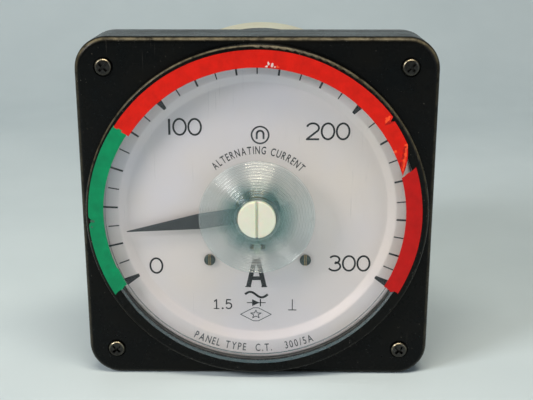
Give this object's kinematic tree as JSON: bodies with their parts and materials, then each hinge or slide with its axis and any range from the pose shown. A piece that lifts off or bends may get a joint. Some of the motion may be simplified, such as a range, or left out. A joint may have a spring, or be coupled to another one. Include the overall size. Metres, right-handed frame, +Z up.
{
  "type": "analog panel ammeter",
  "caption": "Square switchboard ammeter with a round window, long curved scale, central pointer and slotted zero adjuster, on a round housing with rear terminals.",
  "frame": {"origin": "on the dial axis, in the plane of the panel that the flange seats against, at the middle of the four panel studs", "axes": "+Z up, +X to the right as seen from the front, +Y along the dial axis towards the rear terminals; the dial faces -Y"},
  "size_m": [0.11, 0.1234, 0.11],
  "materials": {
    "black_phenolic": "gloss",
    "clear_acrylic": "polished",
    "clear_boss": "gloss",
    "rubber": "matte",
    "zinc_steel": "satin",
    "dark_screw": "satin",
    "green_tape": "gloss",
    "red_tape": "gloss",
    "dark_red_tape": "gloss",
    "cream_phenolic": "satin",
    "label_paper": "satin",
    "brass": "satin",
    "dial_paint": "satin",
    "passivated_steel": "satin",
    "jewel_steel": "polished",
    "soft_iron": "satin",
    "magnet_alloy": "matte",
    "board_laminate": "satin",
    "diode_black": "satin",
    "resistor_brown": "satin",
    "core_steel": "matte",
    "bobbin_plastic": "satin",
    "copper_wire": "gloss",
    "lead_insulation": "satin",
    "cream_knob": "satin",
    "pointer_black": "satin",
    "coil_aluminium": "satin",
    "spring_bronze": "satin"
  },
  "bodies": {
    "case": {"front_cover": "black_phenolic", "window": "clear_acrylic", "window_gasket": "rubber", "window_ring": "zinc_steel", "window_ring_screws": "zinc_steel", "adjuster_boss": "clear_boss", "cover_screws": "dark_screw", "cover_gasket": "rubber", "green_tape": "green_tape", "red_tape": "red_tape", "red_tape_end": "dark_red_tape", "base_housing": "black_phenolic", "panel_studs": "zinc_steel", "rear_cap": "cream_phenolic", "cap_screws": "zinc_steel", "terminal_studs": "brass", "terminal_washers": "brass", "terminal_spring_washers": "zinc_steel", "terminal_nuts": "brass", "rear_label": "label_paper", "dial_plate": "dial_paint", "dial_screws": "brass", "dial_spacers": "brass", "dial_pillars": "brass", "dial_supports": "brass", "chassis_plate": "passivated_steel", "chassis_screws": "zinc_steel", "movement_pillars": "brass", "frame_screws": "zinc_steel", "rear_plate": "passivated_steel", "front_bridge": "brass", "end_stops": "rubber", "jewel_screws": "jewel_steel", "jewel_lock_nuts": "brass", "yoke_ring": "soft_iron", "core_ring": "soft_iron", "magnet": "magnet_alloy", "core_support": "brass", "core_support_screws": "zinc_steel", "rear_spring_anchor": "brass", "board_pillars": "brass", "circuit_board": "board_laminate", "rectifier_diodes": "diode_black", "calibrating_resistor": "resistor_brown", "transformer_core": "core_steel", "transformer_bobbin": "bobbin_plastic", "transformer_windings": "copper_wire", "transformer_fixings": "zinc_steel", "internal_leads": "lead_insulation", "lead_grommet": "rubber"},
    "adjuster": {"zero_adjust_screw": "cream_knob", "adjuster_crank": "cream_knob"},
    "zero_arm": {"zero_lever": "brass"},
    "moving_element": {"pointer": "pointer_black", "pointer_foot": "coil_aluminium", "balance_weights": "brass", "coil_former": "coil_aluminium", "coil_winding": "copper_wire", "pivot_staff": "jewel_steel", "hairsprings": "spring_bronze"}
  },
  "joints": [
    {"name": "zero_adjust", "type": "hinge", "parent": "case", "child": "adjuster", "pos_m": [0, 0, 0], "axis": [0, 1, 0], "range_deg": [-8, 8]},
    {"name": "zero_lever_turn", "type": "hinge", "parent": "case", "child": "zero_arm", "pos_m": [0, 0, 0], "axis": [0, 1, 0], "range_deg": [-8, 8]},
    {"name": "pointer_swing", "type": "hinge", "parent": "zero_arm", "child": "moving_element", "pos_m": [0, 0, 0], "axis": [0, 1, 0], "range_deg": [-25, 223], "stiffness_Nm_per_rad": 0.00003, "deforming": ["hairsprings"]}
  ],
  "couplings": [
    {"joint": "zero_lever_turn", "follows": "zero_adjust", "ratio": 1}
  ]
}
